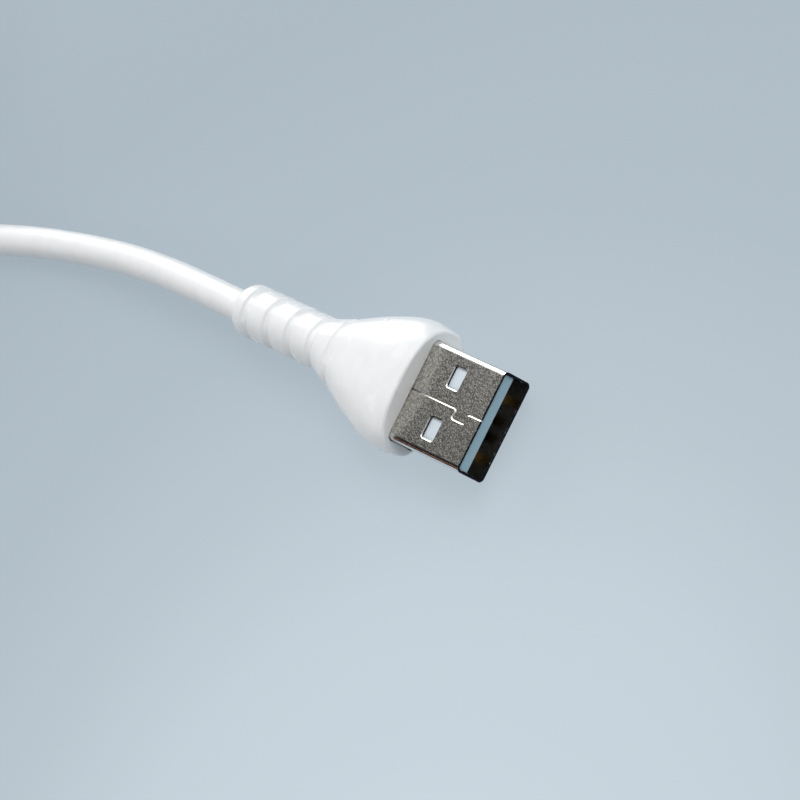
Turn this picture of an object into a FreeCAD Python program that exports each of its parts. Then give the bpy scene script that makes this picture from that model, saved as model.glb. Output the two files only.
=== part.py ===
import FreeCAD, Part
import math
import os
import Sketcher

# Charging cable: a flat four-contact host plug, a round white cord put away as a tied hank,
# and a small flat-tab device plug that lies on the hank. Millimetres, +X along the host plug
# towards its mouth, +Z up, origin under the middle of the host plug on the surface it lies on.

os.makedirs("parts", exist_ok=True)
doc = FreeCAD.newDocument("charging_cable")
Vector = FreeCAD.Vector


# Driving dimensions

driving_sizes = {
    # host plug: folded steel shell
    "shell_width": 12.0,
    "shell_height": 4.5,
    "shell_wall": 0.3,
    "shell_corner": 0.65,
    "shell_reach": 11.5,
    "shell_seat": 4.5,
    "window_along": 1.9,
    "window_across": 2.5,
    "window_corner": 0.3,
    "window_setback": 6.1,
    "window_spacing": 6.1,
    "seam_gap": 0.12,
    "lock_setback": 2.2,
    "lock_neck": 1.8,
    "lock_head": 2.3,
    "lock_depth": 1.15,
    # host plug: tongue and contacts
    "tongue_clearance": 0.05,
    "tongue_recess": 0.3,
    "tongue_thickness": 1.95,
    "tongue_chamfer": 0.35,
    "cavity_depth": 8.9,
    "contact_width": 1.0,
    "contact_thickness": 0.3,
    "contact_proud": 0.1,
    "contact_hook": 0.8,
    "contact_tail": 2.0,
    "outer_contact_spacing": 7.0,
    "inner_contact_spacing": 2.0,
    "outer_contact_setback": 1.2,
    "inner_contact_setback": 2.2,
    # host plug: inner mould and outer mould
    "core_width": 10.4,
    "core_height": 5.6,
    "core_land": 8.0,
    "core_neck": 4.8,
    "jacket_seat": 13.0,
    "mould_length": 31.0,
    "mould_width": 14.8,
    "mould_height": 8.1,
    "mould_land": 9.3,
    "face_width": 14.2,
    "face_height": 7.6,
    "face_land": 8.6,
    "belly_setback": 2.8,
    "belly_height": 8.05,
    "shoulder_setback": 6.4,
    "shoulder_width": 13.3,
    "shoulder_height": 7.95,
    "shoulder_land": 8.6,
    "waist_setback": 9.6,
    "waist_width": 10.9,
    "waist_height": 7.5,
    "waist_land": 6.2,
    "neck_setback": 12.6,
    "neck_width": 8.5,
    "neck_height": 6.8,
    "neck_land": 3.4,
    "face_edge": 0.35,
    # strain relief, the same on both plugs
    "relief_diameter": 6.2,
    "relief_root_step": 0.1,
    "collar_edge": 0.9,
    "collar_length": 2.5,
    "groove_pitch": 3.87,
    "groove_width": 1.3,
    "groove_depth": 0.42,
    "groove_count": 4,
    "neck_groove_radius": 3.3,
    # cord and wires
    "cord_diameter": 3.7,
    "wire_diameter": 0.65,
    "wire_pitch": 0.85,
    # hank and tie
    "hank_start": 97.0,
    "hank_side": 1.0,
    "hank_run": 55.5,
    "fold_radius": 11.2,
    "turn_pitch": 3.75,
    "layer_pitch": 3.72,
    "layer_count": 3,
    "hank_edge": 1.6,
    "hank_end_flat": 0.001,
    "tie_width": 7.0,
    "tie_thickness": 0.8,
    "tie_corner": 1.0,
    "tie_inner_corner": 0.2,
    "tie_end": 7.0,
    # device plug
    "device_setback": 115.0,
    "device_inset": 1.5,
    "tab_width": 6.7,
    "tab_thickness": 1.5,
    "tab_reach": 6.7,
    "tab_seat": 3.0,
    "tab_tip": 1.6,
    "tab_edge": 0.45,
    "notch_radius": 0.6,
    "notch_setback": 4.0,
    "block_width": 5.4,
    "block_length": 2.9,
    "block_setback": 1.3,
    "pad_count": 8,
    "pad_pitch": 0.62,
    "pad_width": 0.4,
    "pad_length": 1.9,
    "pad_thickness": 0.15,
    "board_width": 5.4,
    "board_thickness": 0.8,
    "board_length": 6.0,
    "can_width": 7.4,
    "can_height": 3.8,
    "can_wall": 0.25,
    "can_length": 9.0,
    "device_jacket_seat": 16.3,
    "device_length": 26.0,
    "device_height": 6.6,
    "device_face_width": 9.6,
    "device_face_height": 6.2,
    "device_face_land": 5.8,
    "device_belly_setback": 3.4,
    "device_belly_width": 10.3,
    "device_belly_height": 6.58,
    "device_belly_land": 6.4,
    "device_shoulder_setback": 8.0,
    "device_shoulder_width": 9.7,
    "device_shoulder_height": 6.5,
    "device_shoulder_land": 5.4,
    "device_waist_setback": 11.6,
    "device_waist_width": 7.9,
    "device_waist_height": 6.36,
    "device_waist_land": 3.4,
    "device_groove_count": 3,
}

sheet = doc.addObject("Spreadsheet::Sheet", "Sizes")
for row, (alias, number) in enumerate(driving_sizes.items(), start=1):
    sheet.set("A%d" % row, alias)
    sheet.set("B%d" % row, str(number))
    sheet.setAlias("B%d" % row, alias)
doc.recompute()


class Size:
    # A length that carries both its value and the sheet formula that gives it.
    def __init__(self, text, value):
        self.text = text
        self.value = float(value)

    @staticmethod
    def of(other):
        return other if isinstance(other, Size) else Size(repr(float(other)), other)

    def joined(self, sign, other, value):
        return Size("(%s %s %s)" % (self.text, sign, other.text), value)

    def __add__(self, other):
        other = Size.of(other)
        return self.joined("+", other, self.value + other.value)

    def __sub__(self, other):
        other = Size.of(other)
        return self.joined("-", other, self.value - other.value)

    def __mul__(self, other):
        other = Size.of(other)
        return self.joined("*", other, self.value * other.value)

    def __truediv__(self, other):
        other = Size.of(other)
        return self.joined("/", other, self.value / other.value)

    def __neg__(self):
        return Size.of(0) - self


def size(alias):
    return Size("Sizes." + alias, sheet.get(alias))


def count(alias):
    return int(round(sheet.get(alias)))


nothing = Size.of(0)


# Sketch and feature helpers

def bind(thing, prop, length):
    thing.setExpression(prop, length.text)


def place(thing, spot):
    for axis, length in zip("xyz", spot):
        bind(thing, "Placement.Base." + axis, length)


def new_body(name, spot):
    body = doc.addObject("PartDesign::Body", name)
    place(body, spot)
    return body


def sketch_on(body, name, role, offset=nothing):
    sketch = body.newObject("Sketcher::SketchObject", name)
    plane = next(item for item in body.Origin.OriginFeatures if item.Role == role)
    sketch.AttachmentSupport = [(plane, "")]
    sketch.MapMode = "FlatFace"
    bind(sketch, "AttachmentOffset.Base.z", offset)
    return sketch


def limit(sketch, kind, where, length):
    index = sketch.addConstraint(Sketcher.Constraint(kind, *where, length.value))
    sketch.setExpression("Constraints[%d]" % index, length.text)


def pin(sketch, edge, end, x, y):
    limit(sketch, "DistanceX", (-1, 1, edge, end), x)
    limit(sketch, "DistanceY", (-1, 1, edge, end), y)


def polygon(sketch, corners):
    # closed outline of straight edges, each corner held by its own two lengths
    first = sketch.GeometryCount
    total = len(corners)
    for index, (x, y) in enumerate(corners):
        far_x, far_y = corners[(index + 1) % total]
        edge = Part.LineSegment(Vector(x.value, y.value, 0), Vector(far_x.value, far_y.value, 0))
        sketch.addGeometry(edge)
    for index, (x, y) in enumerate(corners):
        after = first + (index + 1) % total
        sketch.addConstraint(Sketcher.Constraint("Coincident", first + index, 2, after, 1))
        pin(sketch, first + index, 1, x, y)


def rounded_box(sketch, width, height, radius, centre=(nothing, nothing)):
    # four tangent corner arcs joined by four straight sides
    first = sketch.GeometryCount
    across = width / 2 - radius
    up = height / 2 - radius
    hubs = []
    for turn, (right, top) in enumerate(((1, 1), (-1, 1), (-1, -1), (1, -1))):
        x = centre[0] + across * right
        y = centre[1] + up * top
        hubs.append((x, y))
        start = turn * math.pi / 2
        circle = Part.Circle(Vector(x.value, y.value, 0), Vector(0, 0, 1), radius.value)
        sketch.addGeometry(Part.ArcOfCircle(circle, start, start + math.pi / 2))
    for turn in range(4):
        arc = sketch.Geometry[first + turn]
        after = sketch.Geometry[first + (turn + 1) % 4]
        sketch.addGeometry(Part.LineSegment(arc.EndPoint, after.StartPoint))
    for turn, (x, y) in enumerate(hubs):
        side = first + 4 + turn
        after = first + (turn + 1) % 4
        pin(sketch, first + turn, 3, x, y)
        limit(sketch, "Radius", (first + turn,), radius)
        sketch.addConstraint(Sketcher.Constraint("Tangent", first + turn, 2, side, 1))
        sketch.addConstraint(Sketcher.Constraint("Tangent", side, 2, after, 1))


def flat_oval(sketch, width, height, land):
    # flat top and bottom lands joined by two round sides, the plug mould's section
    half_land = land / 2
    half_height = height / 2
    bulge = width / 2 - half_land
    radius = (bulge * bulge + half_height * half_height) / (bulge * 2)
    middle = width.value / 2 - radius.value
    sweep = math.atan2(half_height.value, half_land.value - middle)
    for side, start in ((1, -sweep), (-1, math.pi - sweep)):
        circle = Part.Circle(Vector(side * middle, 0, 0), Vector(0, 0, 1), radius.value)
        sketch.addGeometry(Part.ArcOfCircle(circle, start, start + 2 * sweep))
    right, left = sketch.Geometry[0], sketch.Geometry[1]
    sketch.addGeometry(Part.LineSegment(right.EndPoint, left.StartPoint))
    sketch.addGeometry(Part.LineSegment(left.EndPoint, right.StartPoint))
    for before, after in ((0, 2), (2, 1), (1, 3), (3, 0)):
        sketch.addConstraint(Sketcher.Constraint("Coincident", before, 2, after, 1))
    for arc, side in ((0, 1), (1, -1)):
        pin(sketch, arc, 1, half_land * side, half_height * -side)
        pin(sketch, arc, 2, half_land * side, half_height * side)
        limit(sketch, "Radius", (arc,), radius)


def pad(body, sketch, name, length, middle=False):
    feature = body.newObject("PartDesign::Pad", name)
    feature.Profile = sketch
    feature.Midplane = middle
    bind(feature, "Length", length)
    body.Tip = feature
    return feature


def pocket(body, sketch, name, depth):
    # cuts against the sketch's normal
    feature = body.newObject("PartDesign::Pocket", name)
    feature.Profile = sketch
    bind(feature, "Length", depth)
    body.Tip = feature
    return feature


def soften(body, name, radius, chosen):
    # rounds the edges of the body's last feature that the test chooses
    doc.recompute()
    base = body.Tip
    edges = ["Edge%d" % (n + 1) for n, edge in enumerate(base.Shape.Edges) if chosen(edge)]
    feature = body.newObject("PartDesign::Fillet", name)
    feature.Base = (base, edges)
    bind(feature, "Radius", radius)
    body.Tip = feature
    return feature


def block(name, spot, lengths):
    box = doc.addObject("Part::Box", name)
    place(box, spot)
    for prop, length in zip(("Length", "Width", "Height"), lengths):
        bind(box, prop, length)
    return box


def joined(name, things):
    group = doc.addObject("Part::MultiFuse", name)
    group.Shapes = things
    return group


def grouped(name, things):
    group = doc.addObject("Part::Compound", name)
    group.Links = things
    return group


def cut(name, base, tool):
    feature = doc.addObject("Part::Cut", name)
    feature.Base = base
    feature.Tool = tool
    return feature


def moved(spot, x, y, z):
    return (spot[0] + x, spot[1] + y, spot[2] + z)


finished = []


def finish(thing, label):
    thing.Label = label
    finished.append(thing)
    return thing


# Swept cords and wires: straight runs joined by tangent arcs as large as the runs allow

def rounded_path(points, report):
    edges = []
    begin = points[0]
    for before, corner, after in zip(points, points[1:], points[2:]):
        back = before - corner
        ahead = after - corner
        shorter = min(back.Length, ahead.Length)
        turn = math.pi - back.getAngle(ahead)
        radius = 0.45 * shorter / math.tan(turn / 2)
        report.append(round(radius, 1))
        back.normalize()
        ahead.normalize()
        enter = corner + back * (0.45 * shorter)
        leave = corner + ahead * (0.45 * shorter)
        inward = (back + ahead).normalize()
        hub = corner + inward * math.hypot(radius, 0.45 * shorter)
        edges.append(Part.LineSegment(begin, enter).toShape())
        edges.append(Part.Arc(enter, hub - inward * radius, leave).toShape())
        begin = leave
    edges.append(Part.LineSegment(begin, points[-1]).toShape())
    return Part.Wire(edges)


def tube(name, points, diameter):
    radii = []
    path = rounded_path(points, radii)
    start = points[1] - points[0]
    ring = Part.Wire([Part.Circle(points[0], start, diameter / 2).toShape()])
    solid = path.makePipeShell([ring], True, False)
    expected = math.pi * diameter * diameter / 4 * path.Length
    print(name, "length %.1f" % path.Length, "radii", radii, "volume ratio %.4f" % (solid.Volume / expected))
    feature = doc.addObject("Part::Feature", name)
    feature.Shape = solid
    return feature


# Where each plug sits: its mould's front face on its own axis

cord_diameter = size("cord_diameter")
host = (
    (size("mould_length") - size("shell_reach")) / 2,
    nothing,
    size("mould_height") / 2,
)
hank_height = cord_diameter + size("layer_pitch") * (count("layer_count") - 1)
hank_middle = size("fold_radius") + size("turn_pitch") / 2
device = (
    -size("device_setback"),
    size("hank_side") + hank_middle - size("device_inset"),
    hank_height + size("device_height") / 2,
)


# Cord route: points chosen by hand, the first inside the host mould, the last in the hank

lead_points = [
    Vector(-3.25, 0.0, 4.05),
    Vector(-24.0, 0.35, 4.05),
    Vector(-40.0, 0.25, 3.3),
    Vector(-53.0, -1.2, 1.9),
    Vector(-66.0, -3.95, 1.85),
    Vector(-78.0, -8.0, 1.85),
    Vector(-90.0, -12.2, 1.85),
    Vector(-102.0, -13.95, 1.85),
    Vector(-113.0, -13.95, 1.87),
]
tail_points = [
    Vector(-165.6, -4.8, 9.3),
    Vector(-165.6, 6.2, 9.8),
    Vector(-157.7, 13.6, 12.0),
    Vector(-144.6, 12.575, 14.44),
    Vector(-131.3, 12.575, 14.44),
]
lead_tube = tube("lead_tube", lead_points, cord_diameter.value)
tail_tube = tube("tail_tube", tail_points, cord_diameter.value)


# Hank: the outer form of the wound turns, with a shallow seat where the tie passes under one side

hank_outer = size("fold_radius") + size("turn_pitch") + cord_diameter / 2
hank_inner = size("fold_radius") - cord_diameter / 2
hank_end_flat = size("hank_end_flat")
hank_centre = -(size("hank_start") + size("hank_run") / 2)
hank_body = new_body("hank_form", (hank_centre, size("hank_side"), nothing))
hank_sketch = sketch_on(hank_body, "hank_outline", "XY_Plane")
rounded_box(hank_sketch, size("hank_run") + hank_outer * 2, hank_outer * 2 + hank_end_flat, hank_outer)
rounded_box(hank_sketch, size("hank_run") + hank_inner * 2, hank_inner * 2 + hank_end_flat, hank_inner)
pad(hank_body, hank_sketch, "hank_turns", hank_height)
soften(
    hank_body,
    "hank_rounding",
    size("hank_edge"),
    lambda edge: edge.BoundBox.ZLength < 0.001,
)

bundle_width = hank_outer - hank_inner
bundle_side = size("hank_side") - hank_middle
tie_seat = block(
    "tie_seat",
    (hank_centre - size("tie_width") / 2, bundle_side - bundle_width / 2, nothing),
    (size("tie_width"), bundle_width, size("tie_thickness")),
)
hank = finish(cut("hank", hank_body, tie_seat), "cord_hank")
lead = finish(cut("lead", lead_tube, hank), "cord_lead")
tail = finish(cut("tail", tail_tube, hank), "cord_tail")

# Tie: a strap round one side of the hank, its loose end laid back over the top
tie_height = hank_height + size("tie_thickness")
tie_body = new_body("tie_loop", (hank_centre, bundle_side, tie_height / 2))
tie_sketch = sketch_on(tie_body, "tie_outline", "YZ_Plane")
tie_wrap = size("tie_thickness") * 2
rounded_box(tie_sketch, bundle_width + tie_wrap, tie_height, size("tie_corner"))
rounded_box(
    tie_sketch,
    bundle_width,
    tie_height - tie_wrap,
    size("tie_inner_corner"),
)
pad(tie_body, tie_sketch, "tie_strap", size("tie_width"), middle=True)
tie_end = block(
    "tie_overlap",
    (
        hank_centre - size("tie_width") / 2,
        bundle_side - size("tie_end") / 2,
        tie_height,
    ),
    (size("tie_width"), size("tie_end"), size("tie_thickness")),
)
finish(joined("tie", [tie_body, tie_end]), "hank_tie")


# Plug moulds: a flat-topped grip that narrows into a round ribbed strain relief

def ring_groove(body, name, along, floor_radius):
    # one round-bottomed groove turned about the plug's axis
    notch = sketch_on(body, name + "_profile", "XZ_Plane")
    half = size("groove_width") / 2
    depth = size("groove_depth")
    notch_radius = (half * half + depth * depth) / (depth * 2)
    rise = floor_radius + notch_radius
    centre = Vector(along.value, rise.value, 0)
    notch.addGeometry(Part.Circle(centre, Vector(0, 0, 1), notch_radius.value))
    pin(notch, 0, 3, along, rise)
    limit(notch, "Radius", (0,), notch_radius)
    groove = body.newObject("PartDesign::Groove", name)
    groove.Profile = notch
    groove.ReferenceAxis = (notch, ["H_Axis"])
    groove.Angle = 360
    body.Tip = groove
    doc.recompute()
    return groove, notch


def mould_form(name, spot, stations, edge, length, grooves):
    # stations run from the front face back to the waist: setback, width, height, land
    body = new_body(name + "_form", spot)
    relief_radius = size("relief_diameter") / 2
    round_edge = size("collar_edge")
    profile = sketch_on(body, name + "_relief_profile", "XZ_Plane")
    back = -length
    root = -stations[-1][0]
    polygon(
        profile,
        [
            (back, nothing),
            (back, relief_radius - round_edge),
            (back + round_edge * 0.3, relief_radius - round_edge * 0.3),
            (back + round_edge, relief_radius),
            (root, relief_radius),
            (root, nothing),
        ],
    )
    relief = body.newObject("PartDesign::Revolution", name + "_relief")
    relief.Profile = profile
    relief.ReferenceAxis = (profile, ["H_Axis"])
    relief.Angle = 360
    body.Tip = relief
    sections = []
    for number, (setback, width, height, land) in enumerate(stations):
        section = sketch_on(body, "%s_section_%d" % (name, number), "YZ_Plane", -setback)
        flat_oval(section, width, height, land)
        sections.append(section)
    grip = body.newObject("PartDesign::AdditiveLoft", name + "_grip")
    grip.Profile = sections[0]
    grip.Sections = sections[1:]
    body.Tip = grip
    soften(
        body,
        name + "_face_rounding",
        edge,
        lambda item: abs(item.BoundBox.XMin) < 0.001 and item.BoundBox.XLength < 0.001,
    )
    floor_radius = relief_radius - size("groove_depth")
    first = back + size("collar_length")
    groove, notch = ring_groove(body, name + "_groove", first, floor_radius)
    ribs = body.newObject("PartDesign::LinearPattern", name + "_grooves")
    ribs.Originals = [groove]
    ribs.Direction = (notch, ["H_Axis"])
    bind(ribs, "Length", size("groove_pitch") * (grooves - 1))
    ribs.Occurrences = grooves
    body.Tip = ribs
    return body


# Host plug: folded shell with a locked seam and four latch windows

shell_length = size("shell_reach") + size("shell_seat")
shell_wall = size("shell_wall")
inside_width = size("shell_width") - shell_wall * 2
inside_height = size("shell_height") - shell_wall * 2
shell_back = moved(host, -size("shell_seat"), nothing, nothing)


def shell_blank(name, hollow):
    body = new_body(name, shell_back)
    outline = sketch_on(body, name + "_outline", "YZ_Plane")
    rounded_box(outline, size("shell_width"), size("shell_height"), size("shell_corner"))
    if hollow:
        rounded_box(outline, inside_width, inside_height, size("shell_corner") - shell_wall)
    pad(body, outline, name + "_tube", shell_length)
    return body


shell = shell_blank("shell", True)
window_sketch = sketch_on(shell, "window_outline", "XY_Plane", size("shell_height") / 2)
for side in (-1, 1):
    spot = (shell_length - size("window_setback"), size("window_spacing") / 2 * side)
    rounded_box(
        window_sketch,
        size("window_along"),
        size("window_across"),
        size("window_corner"),
        spot,
    )
pocket(shell, window_sketch, "windows", size("shell_height"))

seam_sketch = sketch_on(shell, "seam_outline", "XY_Plane", size("shell_height") / 2)
half_gap = size("seam_gap") / 2
lock_front = shell_length - size("lock_setback")
lock_back = lock_front - size("lock_neck")
flare = (size("lock_head") - size("lock_neck")) / 2
lock_floor = -size("lock_depth")
polygon(
    seam_sketch,
    [
        (nothing, -half_gap),
        (lock_back - half_gap, -half_gap),
        (lock_back - flare - half_gap, lock_floor - half_gap),
        (lock_front + flare + half_gap, lock_floor - half_gap),
        (lock_front + half_gap, -half_gap),
        (shell_length, -half_gap),
        (shell_length, half_gap),
        (lock_front - half_gap, half_gap),
        (lock_front + flare - half_gap, lock_floor + half_gap),
        (lock_back - flare + half_gap, lock_floor + half_gap),
        (lock_back + half_gap, half_gap),
        (nothing, half_gap),
    ],
)
pocket(shell, seam_sketch, "seam", shell_wall * 2)
finish(shell, "host_shell")

# Contacts: stamped strips under the tongue, hooked into it at the front, with solder tails behind
tongue_front = size("shell_reach") - size("tongue_recess")
tongue_top = inside_height / 2 - size("tongue_clearance")
contact_face = tongue_top - size("tongue_thickness")
strip_low = contact_face - size("contact_proud")
strip_high = strip_low + size("contact_thickness")
tail_end = -(size("shell_seat") + size("contact_tail"))
contact_lanes = {
    "power": (size("outer_contact_spacing") / 2, size("outer_contact_setback")),
    "data_minus": (size("inner_contact_spacing") / 2, size("inner_contact_setback")),
    "data_plus": (-size("inner_contact_spacing") / 2, size("inner_contact_setback")),
    "ground": (-size("outer_contact_spacing") / 2, size("outer_contact_setback")),
}
contacts = []
for lane, (across, setback) in contact_lanes.items():
    body = new_body("contact_" + lane, moved(host, nothing, across, nothing))
    profile = sketch_on(body, lane + "_profile", "XZ_Plane")
    tip = tongue_front - setback
    polygon(
        profile,
        [
            (tail_end, strip_low),
            (tip, strip_low),
            (tip, strip_high + size("contact_hook")),
            (tip - size("contact_thickness"), strip_high + size("contact_hook")),
            (tip - size("contact_thickness"), strip_high),
            (tail_end, strip_high),
        ],
    )
    pad(body, profile, lane + "_strip", size("contact_width"), middle=True)
    contacts.append(finish(body, "host_contact_" + lane))

# Tongue: a moulded step that fills the back of the shell and lines its seam side
tongue_body = new_body("tongue", host)
tongue_profile = sketch_on(tongue_body, "tongue_profile", "XZ_Plane")
block_front = size("shell_reach") - size("cavity_depth")
chamfer = size("tongue_chamfer")
polygon(
    tongue_profile,
    [
        (-size("shell_seat"), -tongue_top),
        (block_front, -tongue_top),
        (block_front, contact_face),
        (tongue_front - chamfer, contact_face),
        (tongue_front, contact_face + chamfer),
        (tongue_front, tongue_top),
        (-size("shell_seat"), tongue_top),
    ],
)
tongue_width = inside_width - size("tongue_clearance") * 2
pad(tongue_body, tongue_profile, "tongue_block", tongue_width, middle=True)
soften(
    tongue_body,
    "tongue_rounding",
    size("shell_corner") - shell_wall,
    lambda edge: edge.BoundBox.YLength + edge.BoundBox.ZLength < 0.001
    and abs(abs(edge.BoundBox.ZMin) - tongue_top.value) < 0.001,
)
contact_set = grouped("contact_set", contacts)
finish(cut("tongue_slotted", tongue_body, contact_set), "host_tongue")

# Wires: four insulated conductors that fan out from the jacket to the contact tails
wire_pitch = size("wire_pitch")
strip_middle = (strip_low.value + strip_high.value) / 2
jacket_end = -size("jacket_seat").value
wires = []
wire_colours = ("red", "white", "green", "black")
for place_in_row, (colour, (across, setback)) in enumerate(zip(wire_colours, contact_lanes.values())):
    row_side = wire_pitch.value * (1.5 - place_in_row)
    straight = (tail_end.value - jacket_end) / 4
    wire = tube(
        "wire_" + colour,
        [
            Vector(jacket_end, row_side, strip_middle),
            Vector(jacket_end + straight, row_side, strip_middle),
            Vector(tail_end.value - straight, across.value, strip_middle),
            Vector(tail_end.value, across.value, strip_middle),
        ],
        size("wire_diameter").value,
    )
    place(wire, host)
    wires.append(finish(wire, "host_wire_" + colour))

# Inner mould: the first shot of plastic, moulded round the solder joints behind the shell
core_body = new_body("inner_mould_form", host)
core_front = sketch_on(core_body, "inner_mould_front", "YZ_Plane", -size("shell_seat"))
flat_oval(core_front, size("core_width"), size("core_height"), size("core_land"))
core_back = sketch_on(core_body, "inner_mould_back", "YZ_Plane", -size("jacket_seat"))
flat_oval(core_back, size("core_neck"), size("core_neck"), size("core_neck") / 4)
core_loft = core_body.newObject("PartDesign::AdditiveLoft", "inner_mould_loft")
core_loft.Profile = core_front
core_loft.Sections = [core_back]
core_body.Tip = core_loft
core_void = joined("solder_space", wires + contacts)
finish(cut("inner_mould", core_body, core_void), "host_inner_mould")

# Outer mould: soft white grip and strain relief over the shell, the inner mould and the cord
host_relief_root = (
    size("mould_length")
    - size("collar_length")
    - size("groove_pitch") * (count("groove_count") - 1)
)
relief_root = size("relief_diameter") + size("relief_root_step")
host_stations = [
    (nothing, size("face_width"), size("face_height"), size("face_land")),
    (size("belly_setback"), size("mould_width"), size("belly_height"), size("mould_land")),
    (size("shoulder_setback"), size("shoulder_width"), size("shoulder_height"), size("shoulder_land")),
    (size("waist_setback"), size("waist_width"), size("waist_height"), size("waist_land")),
    (size("neck_setback"), size("neck_width"), size("neck_height"), size("neck_land")),
    (host_relief_root, relief_root, relief_root, relief_root / 4),
]
host_form = mould_form(
    "host_mould",
    host,
    host_stations,
    size("face_edge"),
    size("mould_length"),
    count("groove_count"),
)
ring_groove(
    host_form,
    "host_mould_neck_groove",
    size("groove_pitch") - host_relief_root,
    size("neck_groove_radius"),
)
shell_space = shell_blank("shell_space", False)
host_void = joined("host_mould_space", [shell_space, core_body, lead_tube])
finish(cut("host_mould", host_form, host_void), "host_overmould")


# Device plug: flat metal tab with a contact block let into it

tab_body = new_body("tab", device)
tab_outline = sketch_on(tab_body, "tab_outline", "XY_Plane")
tab_length = size("tab_reach") + size("tab_seat")
tab_middle = (size("tab_reach") - size("tab_seat")) / 2
rounded_box(tab_outline, tab_length, size("tab_width"), size("tab_tip"), (tab_middle, nothing))
pad(tab_body, tab_outline, "tab_blank", size("tab_thickness"), middle=True)
soften(
    tab_body,
    "tab_rounding",
    size("tab_edge"),
    lambda edge: edge.BoundBox.ZLength < 0.001,
)
tab_cuts = sketch_on(tab_body, "tab_cuts", "XY_Plane", size("tab_thickness") / 2)
block_middle = size("tab_reach") - size("block_setback") - size("block_length") / 2
rounded_box(
    tab_cuts,
    size("block_length"),
    size("block_width"),
    size("tab_edge") / 2,
    (block_middle, nothing),
)
for side in (-1, 1):
    x = size("tab_reach") - size("notch_setback") - size("notch_radius")
    y = size("tab_width") / 2 * side
    hub = Vector(x.value, y.value, 0)
    edge = tab_cuts.GeometryCount
    tab_cuts.addGeometry(Part.Circle(hub, Vector(0, 0, 1), size("notch_radius").value))
    pin(tab_cuts, edge, 3, x, y)
    limit(tab_cuts, "Radius", (edge,), size("notch_radius"))
pocket(tab_body, tab_cuts, "tab_window", size("tab_thickness"))
finish(tab_body, "device_tab")

# Contact pads: a row on each face of the tab, let into the contact block
pad_rows = {}
for face, side in (("upper", 1), ("lower", -1)):
    row = []
    low = size("tab_thickness") / 2 - size("pad_thickness")
    if side < 0:
        low = -size("tab_thickness") / 2
    for number in range(count("pad_count")):
        across = size("pad_pitch") * (number - (count("pad_count") - 1) / 2)
        spot = moved(
            device,
            block_middle - size("pad_length") / 2,
            across - size("pad_width") / 2,
            low,
        )
        lengths = (size("pad_length"), size("pad_width"), size("pad_thickness"))
        row.append(block("pad_%s_%d" % (face, number), spot, lengths))
    pad_rows[face] = finish(grouped("pads_" + face, row), "device_contacts_" + face)
block_body = new_body("contact_block", device)
block_outline = sketch_on(block_body, "contact_block_outline", "XY_Plane")
rounded_box(
    block_outline,
    size("block_length"),
    size("block_width"),
    size("tab_edge") / 2,
    (block_middle, nothing),
)
pad(block_body, block_outline, "contact_block_fill", size("tab_thickness"), middle=True)
all_pads = grouped("all_pads", list(pad_rows.values()))
finish(cut("contact_block_cut", block_body, all_pads), "device_contact_block")

# Board, wires, potting and screening can behind the tab
board_back = -(size("tab_seat") + size("board_length"))
board = block(
    "board",
    moved(device, board_back, -size("board_width") / 2, -size("board_thickness") / 2),
    (size("board_length"), size("board_width"), size("board_thickness")),
)
finish(board, "device_board")
device_wires = []
for place_in_row, colour in enumerate(wire_colours):
    wire = doc.addObject("Part::Cylinder", "device_wire_" + colour)
    row_side = wire_pitch * (1.5 - place_in_row)
    place(wire, moved(device, -size("device_jacket_seat"), row_side, nothing))
    wire.Placement.Rotation = FreeCAD.Rotation(Vector(0, 1, 0), 90)
    bind(wire, "Radius", size("wire_diameter") / 2)
    bind(wire, "Height", size("device_jacket_seat") + board_back)
    device_wires.append(finish(wire, "device_wire_" + colour))
can_back = -(size("tab_seat") + size("can_length"))


def can_block(name, shrink):
    spot = moved(
        device,
        can_back,
        shrink - size("can_width") / 2,
        shrink - size("can_height") / 2,
    )
    lengths = (size("can_length"), size("can_width") - shrink * 2, size("can_height") - shrink * 2)
    return block(name, spot, lengths)


can_outside = can_block("can_outside", nothing)
can_inside = can_block("can_inside", size("can_wall"))
finish(cut("can", can_outside, can_inside), "device_can")
neck = doc.addObject("Part::Cylinder", "potting_neck")
place(neck, moved(device, -size("device_jacket_seat"), nothing, nothing))
neck.Placement.Rotation = FreeCAD.Rotation(Vector(0, 1, 0), 90)
bind(neck, "Radius", cord_diameter / 2)
bind(neck, "Height", size("device_jacket_seat") + can_back)
potting_form = joined("potting_form", [can_inside, neck])
potting_void = joined("potting_space", [board] + device_wires)
finish(cut("potting", potting_form, potting_void), "device_potting")

device_relief_root = (
    size("device_length")
    - size("collar_length")
    - size("groove_pitch") * (count("device_groove_count") - 1)
)
device_stations = [
    (nothing, size("device_face_width"), size("device_face_height"), size("device_face_land")),
    (device_relief_root, relief_root, relief_root, relief_root / 4),
]
for part_name in ("waist", "shoulder", "belly"):
    station = [
        size("device_%s_%s" % (part_name, measure))
        for measure in ("setback", "width", "height", "land")
    ]
    device_stations.insert(1, station)
device_form = mould_form(
    "device_mould",
    device,
    device_stations,
    size("face_edge"),
    size("device_length"),
    count("device_groove_count"),
)
tab_space = new_body("tab_space", device)
tab_space_outline = sketch_on(tab_space, "tab_space_outline", "XY_Plane")
rounded_box(tab_space_outline, tab_length, size("tab_width"), size("tab_tip"), (tab_middle, nothing))
pad(tab_space, tab_space_outline, "tab_space_blank", size("tab_thickness"), middle=True)
device_void = joined("device_mould_space", [tab_space, can_outside, neck, tail_tube])
finish(cut("device_mould", device_form, device_void), "device_overmould")


# Every object has to be sound before anything is written

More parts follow.
